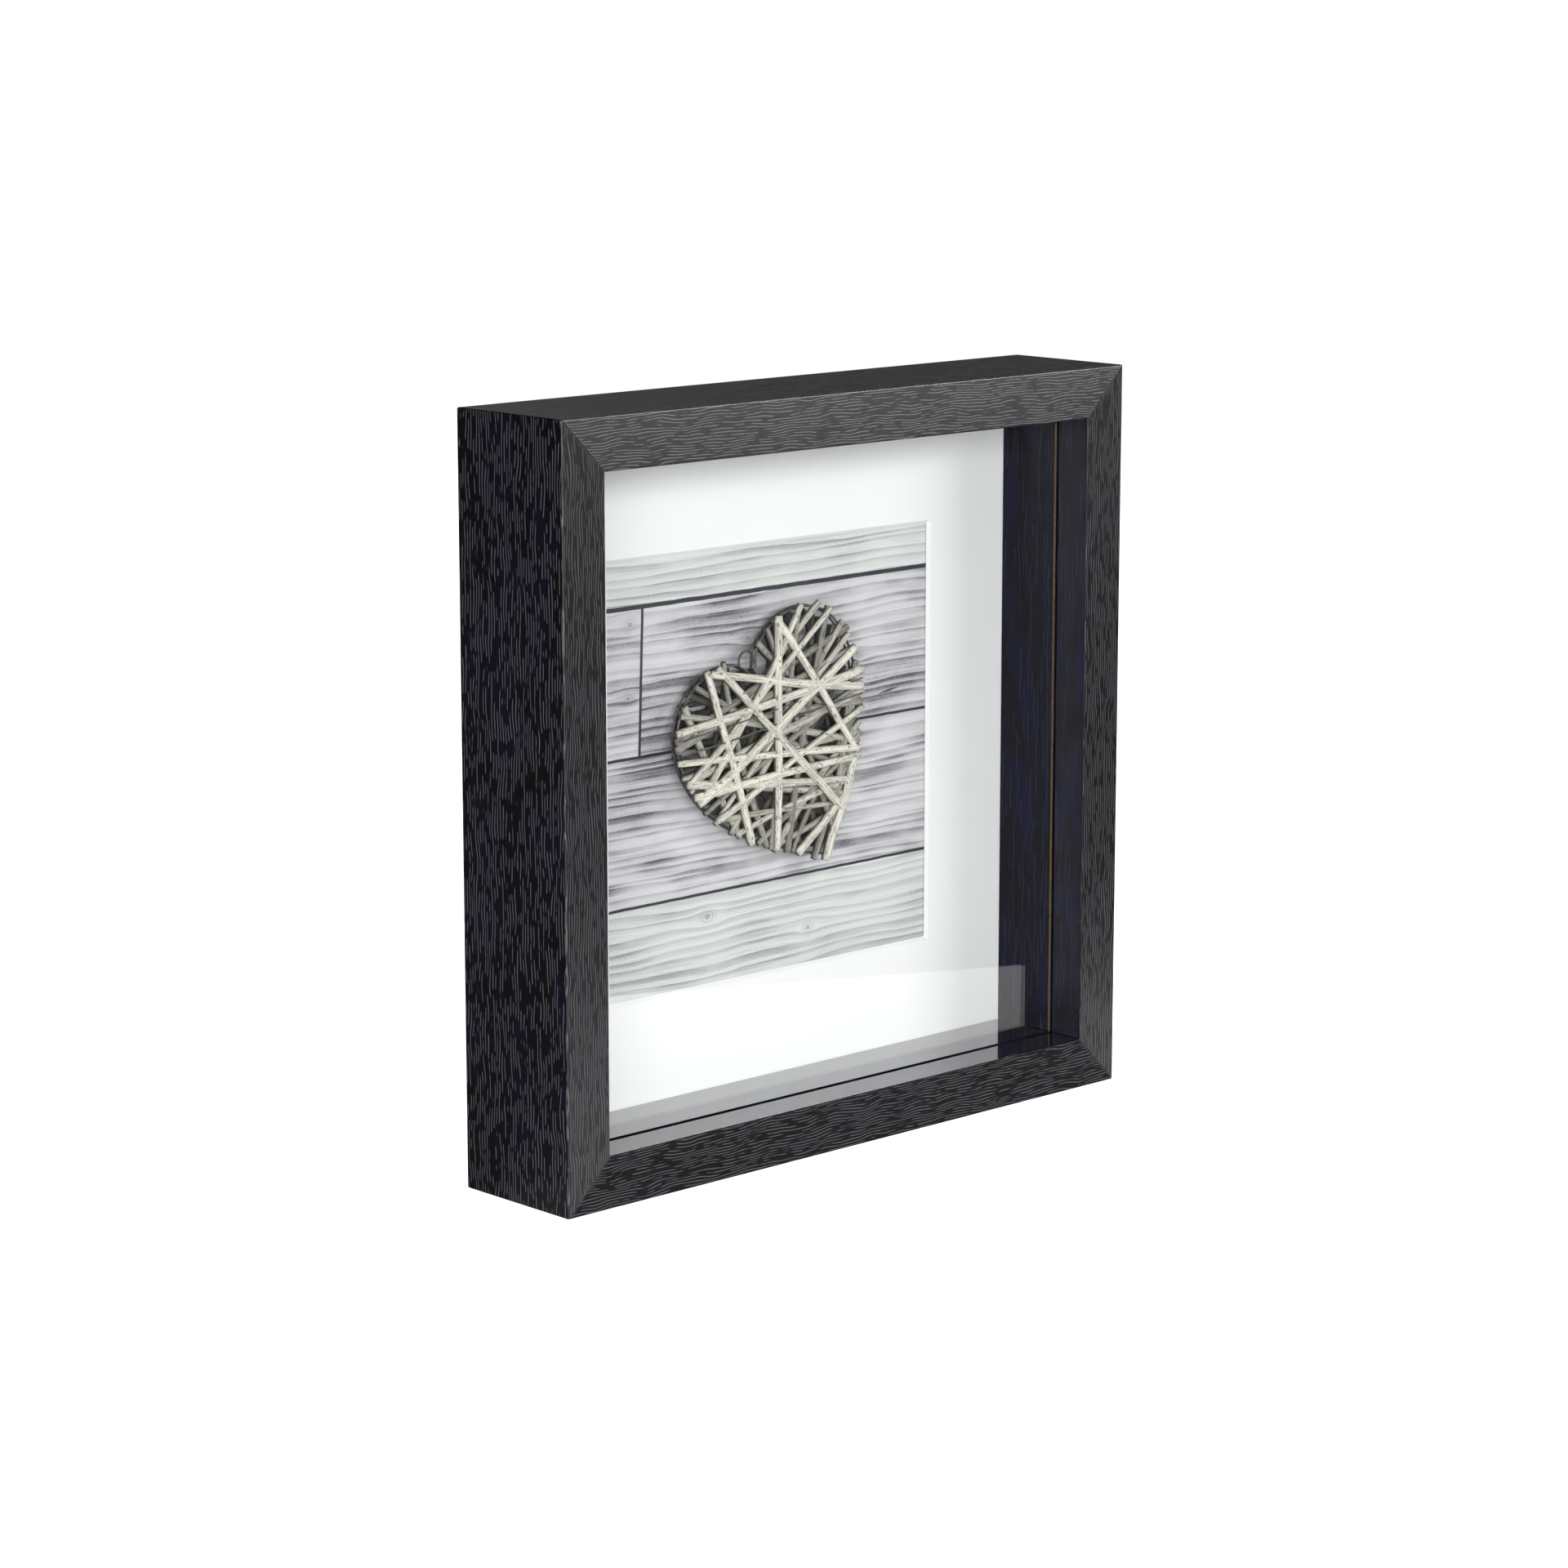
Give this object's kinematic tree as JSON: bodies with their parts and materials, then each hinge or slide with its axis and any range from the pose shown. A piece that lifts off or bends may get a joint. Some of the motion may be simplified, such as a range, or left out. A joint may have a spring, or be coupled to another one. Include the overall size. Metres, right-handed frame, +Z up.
{
  "type": "shadow box frame",
  "caption": "Square deep box frame with a glazed front, a matted print with a wicker heart behind the glass, and a removable back held by turn buttons.",
  "frame": {"origin": "middle of the wooden box's underside, where it stands on a shelf", "axes": "-Y out of the glazed front, +Y out of the back, +Z up, +X to the viewer's right"},
  "size_m": [0.25, 0.0531, 0.25],
  "materials": {
    "black_foil": "black foil embossed with a fine wood grain over fibreboard, satin",
    "inner_foil": "dark blue-black wood-grain foil over fibreboard, satin, raw brown at the front edge",
    "clear_glass": "clear float glass",
    "mat_white": "matt white mount board with a bevelled window",
    "print_paper": "semi-matt print of weathered grey-white boards",
    "brown_card": "plain brown filler card",
    "fibreboard": "smooth brown hardboard",
    "grey_willow": "weathered grey willow rods, matt",
    "dark_wire": "dark annealed wire",
    "zinc_steel": "zinc-plated pressed steel"
  },
  "bodies": {
    "case": {"frame_top_rail": "black_foil", "frame_right_stile": "black_foil", "frame_bottom_rail": "black_foil", "frame_left_stile": "black_foil", "corner_nail_upper_right": "zinc_steel", "corner_nail_lower_right": "zinc_steel", "corner_nail_lower_left": "zinc_steel", "corner_nail_upper_left": "zinc_steel", "glass_pane": "clear_glass", "spacer_top": "inner_foil", "spacer_right": "inner_foil", "spacer_bottom": "inner_foil", "spacer_left": "inner_foil", "button_screw_upper_left": "zinc_steel", "button_screw_lower_left": "zinc_steel", "button_screw_upper_right": "zinc_steel", "button_screw_lower_right": "zinc_steel", "wall_hanger": "zinc_steel", "hanger_pin_left": "zinc_steel", "hanger_pin_right": "zinc_steel"},
    "insert": {"mat_board": "mat_white", "print_sheet": "print_paper", "filler_card": "brown_card", "back_panel": "fibreboard", "heart_weave": "grey_willow", "heart_front_hoop": "dark_wire", "heart_back_hoop": "dark_wire", "heart_hanging_loop": "dark_wire"},
    "button_upper_left": {"turn_button_upper_left": "zinc_steel"},
    "button_lower_left": {"turn_button_lower_left": "zinc_steel"},
    "button_upper_right": {"turn_button_upper_right": "zinc_steel"},
    "button_lower_right": {"turn_button_lower_right": "zinc_steel"}
  },
  "joints": [
    {"name": "insert_slide", "type": "slide", "parent": "case", "child": "insert", "axis": [0, 1, 0], "range_m": [0, 0.06]},
    {"name": "turn_upper_left", "type": "hinge", "parent": "case", "child": "button_upper_left", "pos_m": [-0.1195, 0.0258, 0.185], "axis": [0, -1, 0], "range_deg": [0, 90]},
    {"name": "turn_lower_left", "type": "hinge", "parent": "case", "child": "button_lower_left", "pos_m": [-0.1195, 0.0258, 0.065], "axis": [0, -1, 0], "range_deg": [0, 90]},
    {"name": "turn_upper_right", "type": "hinge", "parent": "case", "child": "button_upper_right", "pos_m": [0.1195, 0.0258, 0.185], "axis": [0, 1, 0], "range_deg": [0, 90]},
    {"name": "turn_lower_right", "type": "hinge", "parent": "case", "child": "button_lower_right", "pos_m": [0.1195, 0.0258, 0.065], "axis": [0, 1, 0], "range_deg": [0, 90]}
  ]
}
